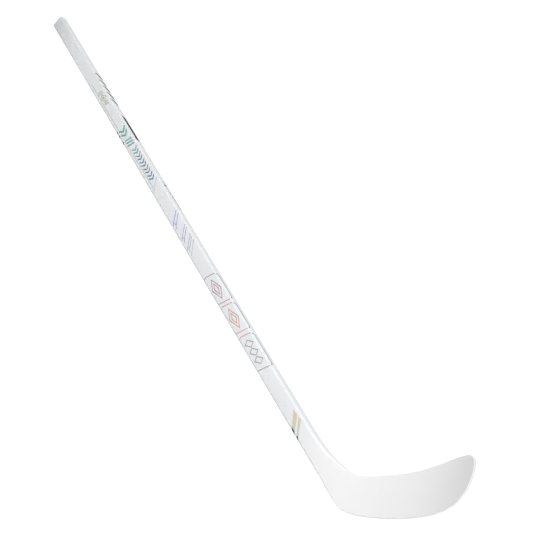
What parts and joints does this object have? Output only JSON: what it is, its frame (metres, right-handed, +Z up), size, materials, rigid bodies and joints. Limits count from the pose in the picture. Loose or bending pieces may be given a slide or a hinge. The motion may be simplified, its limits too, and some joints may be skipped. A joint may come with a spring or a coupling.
{
  "type": "ice hockey stick",
  "caption": "Left-handed one-piece composite ice hockey stick: hollow rectangular shaft, butt plug and curved foam-cored blade.",
  "frame": {"origin": "on the ice under the flat middle of the blade's bottom edge", "axes": "playing pose: +Z up from the ice, +X along the blade from heel to toe, +Y away from the forehand face; the shaft rises towards -X at 45 degrees"},
  "size_m": [1.3905, 0.0759, 1.14],
  "materials": {
    "shaft_gloss": "cool white lacquer under a glossy clear coat, over carbon laminate",
    "plug": "white moulded plastic, satin",
    "neck": "white lacquer fading from gloss to satin, over carbon laminate",
    "wrap": "glass cloth overwrap under white lacquer",
    "blade_edge": "satin white paint over fibre edging",
    "blade_front": "satin white paint over carbon laminate",
    "blade_back": "satin white paint over carbon laminate",
    "foam": "cream closed-cell foam",
    "carbon": "bare carbon laminate"
  },
  "bodies": {
    "root": {"shaft_tube": "shaft_gloss", "butt_end_plug": "plug", "hosel": "neck", "hosel_core": "foam", "joint_wrap": "wrap", "blade_rim": "blade_edge", "blade_front_skin": "blade_front", "blade_back_skin": "blade_back", "blade_core_upper": "foam", "blade_core_lower": "foam", "blade_bridge": "carbon"}
  },
  "joints": []
}
